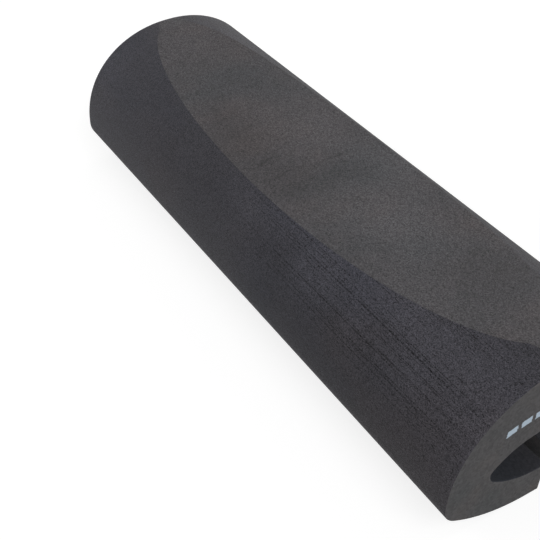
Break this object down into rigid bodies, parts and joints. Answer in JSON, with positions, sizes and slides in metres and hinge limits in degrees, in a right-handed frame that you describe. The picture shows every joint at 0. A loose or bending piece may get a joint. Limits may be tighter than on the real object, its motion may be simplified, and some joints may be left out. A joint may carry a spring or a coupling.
{
  "type": "roof rack pad",
  "caption": "Dome-shaped block of soft foam that wraps a roof rack crossbar, with a wing-shaped channel, a slot through the base and a shallow concave cut along the top.",
  "frame": {"origin": "centre of the bounding box at the height of the base", "axes": "+X along the crossbar, towards the end face that carries the print; +Z from the base towards the crest; +Y across"},
  "size_m": [0.381, 0.13, 0.085],
  "materials": {
    "foam": "matt dark charcoal closed-cell foam, cut faces a little lighter and warmer than the skin"
  },
  "bodies": {
    "root": {"foam_pad": "foam"}
  },
  "joints": []
}
